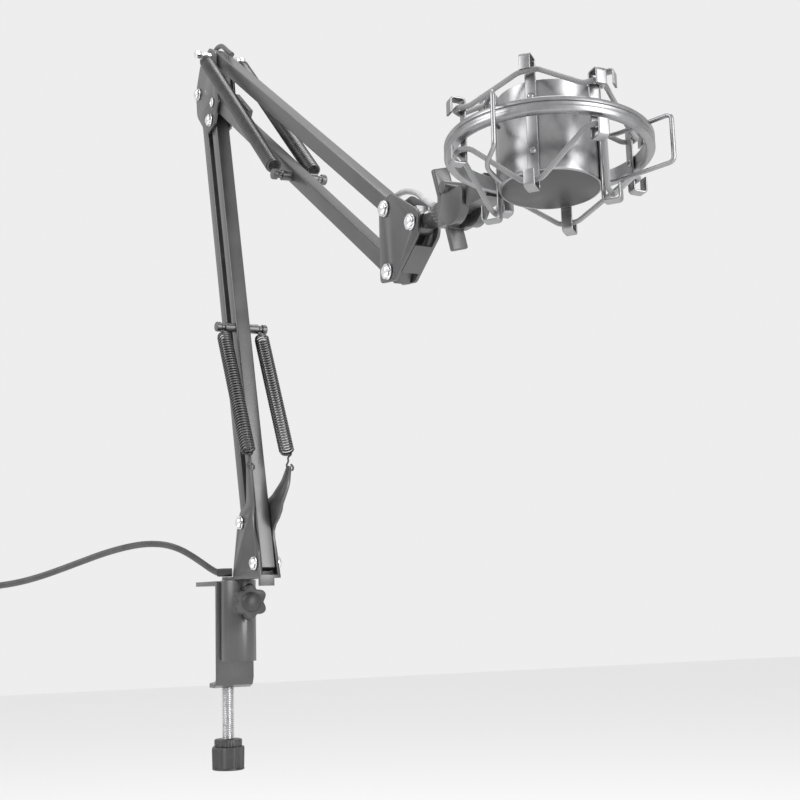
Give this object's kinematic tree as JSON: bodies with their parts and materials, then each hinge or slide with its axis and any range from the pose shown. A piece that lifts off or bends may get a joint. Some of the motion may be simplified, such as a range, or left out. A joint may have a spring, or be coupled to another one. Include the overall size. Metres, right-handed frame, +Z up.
{
  "type": "microphone boom arm with shock mount",
  "caption": "Spring-balanced desk boom arm with a screw clamp, two parallelogram sections, a tilting head and an open spider shock mount for a studio microphone.",
  "frame": {"origin": "centre of the clamp screw's axis on the underside of the clamp's upper jaw", "axes": "+Z up along the clamp screw and the arm's post, +X the way the arm reaches, +Y to the arm's far side"},
  "size_m": [0.7407, 0.3301, 0.5923],
  "materials": {
    "black_steel": "satin black powder coat on steel",
    "chrome": "bright plated",
    "zinc": "zinc plated steel",
    "black_plastic": "moulded, fine satin",
    "spring_steel": "blackened close-wound wire",
    "gunmetal": "polished dark nickel",
    "elastic": "braided elastic cord",
    "cable": "smooth black jacket"
  },
  "bodies": {
    "clamp": {"clamp_bracket": "black_steel", "clamp_tube": "black_steel", "cord_far": "cable", "cord_coil": "cable", "cord_plug": "zinc"},
    "clamp_pad": {"clamp_pad": "zinc"},
    "clamp_screw": {"clamp_spindle": "zinc", "clamp_knob": "black_plastic"},
    "lock_knob": {"lock_knob": "black_plastic"},
    "base": {"base_bracket": "black_steel", "base_post": "zinc", "base_rear_bolt": "chrome", "base_front_bolt": "chrome", "cord_grommet": "black_plastic", "cord_near": "cable"},
    "lower_front_bar": {"lower_front_bar": "black_steel", "lower_crossbar": "black_steel", "lower_spring_near": "spring_steel", "lower_spring_far": "spring_steel"},
    "lower_rear_bar": {"lower_rear_bar": "black_steel"},
    "elbow": {"elbow_plate_near": "black_steel", "elbow_plate_far": "black_steel", "elbow_pin": "chrome", "elbow_rear_bolt": "chrome", "elbow_front_bolt": "chrome", "elbow_middle_bolt": "chrome", "elbow_cable": "cable"},
    "elbow_knob": {"elbow_knob": "black_plastic"},
    "upper_lower_bar": {"upper_lower_bar": "black_steel", "upper_crossbar": "black_steel", "upper_spring_near": "spring_steel", "upper_spring_far": "spring_steel"},
    "upper_top_bar": {"upper_top_bar": "black_steel"},
    "head": {"head_plate_near": "black_steel", "head_plate_far": "black_steel", "head_top_bolt": "chrome", "head_bottom_bolt": "chrome", "head_front_bolt": "chrome", "head_cable": "cable"},
    "mic_rod": {"mic_rod": "black_steel"},
    "swivel": {"swivel_body": "black_steel"},
    "t_handle": {"t_handle": "black_steel"},
    "mount_ring": {"ring_block": "black_steel", "ring": "gunmetal", "outer_strip_1": "gunmetal", "outer_strip_2": "gunmetal", "outer_strip_3": "gunmetal", "outer_strip_4": "gunmetal"},
    "cage": {"sleeve": "gunmetal", "inner_strip_1": "gunmetal", "inner_strip_2": "gunmetal", "inner_strip_3": "gunmetal", "inner_strip_4": "gunmetal", "elastic_top": "elastic", "elastic_bottom": "elastic"},
    "squeeze_right": {"squeeze_handle_right": "gunmetal"},
    "squeeze_left": {"squeeze_handle_left": "gunmetal"}
  },
  "joints": [
    {"name": "pad_travel", "type": "slide", "parent": "clamp", "child": "clamp_pad", "axis": [0, 0, 1], "range_m": [0, 0.038]},
    {"name": "screw_turn", "type": "hinge", "parent": "clamp_pad", "child": "clamp_screw", "pos_m": [0, 0, -0.09], "axis": [0, 0, 1], "range_deg": [-9120, 0]},
    {"name": "lock_knob_turn", "type": "hinge", "parent": "clamp", "child": "lock_knob", "pos_m": [0.024, 0, -0.013], "axis": [1, 0, 0], "continuous": true},
    {"name": "base_swivel", "type": "hinge", "parent": "clamp", "child": "base", "pos_m": [0.024, 0, 0], "axis": [0, 0, 1], "range_deg": [-80, 170], "deforming": ["cord_near"]},
    {"name": "lower_swing", "type": "hinge", "parent": "base", "child": "lower_front_bar", "pos_m": [0.08, 0, 0.0152], "axis": [0, 1, 0], "range_deg": [-10, 75], "deforming": ["lower_spring_near", "lower_spring_far"]},
    {"name": "lower_rear_swing", "type": "hinge", "parent": "base", "child": "lower_rear_bar", "pos_m": [0.052, 0, 0.0465], "axis": [0, 1, 0], "range_deg": [-10, 75]},
    {"name": "elbow_level", "type": "hinge", "parent": "lower_front_bar", "child": "elbow", "pos_m": [-0.01064, 0, 0.38145], "axis": [0, 1, 0], "range_deg": [-75, 10], "deforming": ["elbow_cable"]},
    {"name": "upper_swing", "type": "hinge", "parent": "elbow", "child": "upper_lower_bar", "pos_m": [-0.00614, 0, 0.39545], "axis": [0, 1, 0], "range_deg": [-70, 20], "deforming": ["upper_spring_near", "upper_spring_far"]},
    {"name": "upper_top_swing", "type": "hinge", "parent": "elbow", "child": "upper_top_bar", "pos_m": [-0.00904, 0, 0.43595], "axis": [0, 1, 0], "range_deg": [-70, 20], "deforming": ["elbow_cable"]},
    {"name": "head_level", "type": "hinge", "parent": "upper_lower_bar", "child": "head", "pos_m": [0.30623, 0, 0.18634], "axis": [0, 1, 0], "range_deg": [-20, 70], "deforming": ["head_cable"]},
    {"name": "elbow_knob_turn", "type": "hinge", "parent": "elbow", "child": "elbow_knob", "pos_m": [-0.00614, 0, 0.39545], "axis": [0, 1, 0], "continuous": true},
    {"name": "rod_tilt", "type": "hinge", "parent": "head", "child": "mic_rod", "pos_m": [0.338, 0, 0.21], "axis": [0, 1, 0], "range_deg": [-45, 60], "deforming": ["head_cable"]},
    {"name": "swivel_turn", "type": "hinge", "parent": "mic_rod", "child": "swivel", "pos_m": [0.388, 0, 0.21], "axis": [1, 0, 0], "range_deg": [-175, 175]},
    {"name": "ring_tilt", "type": "hinge", "parent": "swivel", "child": "mount_ring", "pos_m": [0.388, 0, 0.21], "axis": [0, 1, 0], "range_deg": [-45, 60]},
    {"name": "t_handle_turn", "type": "hinge", "parent": "mic_rod", "child": "t_handle", "pos_m": [0.37035, 0, 0.21], "axis": [1, 0, 0], "continuous": true},
    {"name": "cage_bounce", "type": "slide", "parent": "mount_ring", "child": "cage", "axis": [-0.1095, 0.0663, 0.9918], "range_m": [-0.002, 0.002], "stiffness_N_per_m": 1800, "springref_m": 0.0008, "deforming": ["elastic_top", "elastic_bottom"]},
    {"name": "squeeze_right_turn", "type": "hinge", "parent": "cage", "child": "squeeze_right", "pos_m": [0.4784, -0.0015, 0.2163], "axis": [-0.1095, 0.0663, 0.9918], "range_deg": [-4, 0], "stiffness_Nm_per_rad": 0.4},
    {"name": "squeeze_left_turn", "type": "hinge", "parent": "cage", "child": "squeeze_left", "pos_m": [0.4784, -0.0015, 0.2163], "axis": [-0.1095, 0.0663, 0.9918], "range_deg": [0, 4], "stiffness_Nm_per_rad": 0.4}
  ],
  "couplings": [
    {"joint": "screw_turn", "follows": "pad_travel", "rad_per_m": -4188.8},
    {"joint": "lower_rear_swing", "follows": "lower_swing", "ratio": 1},
    {"joint": "elbow_level", "follows": "lower_swing", "ratio": -1},
    {"joint": "upper_top_swing", "follows": "upper_swing", "ratio": 1},
    {"joint": "head_level", "follows": "upper_swing", "ratio": -1},
    {"joint": "squeeze_left_turn", "follows": "squeeze_right_turn", "ratio": -1}
  ]
}
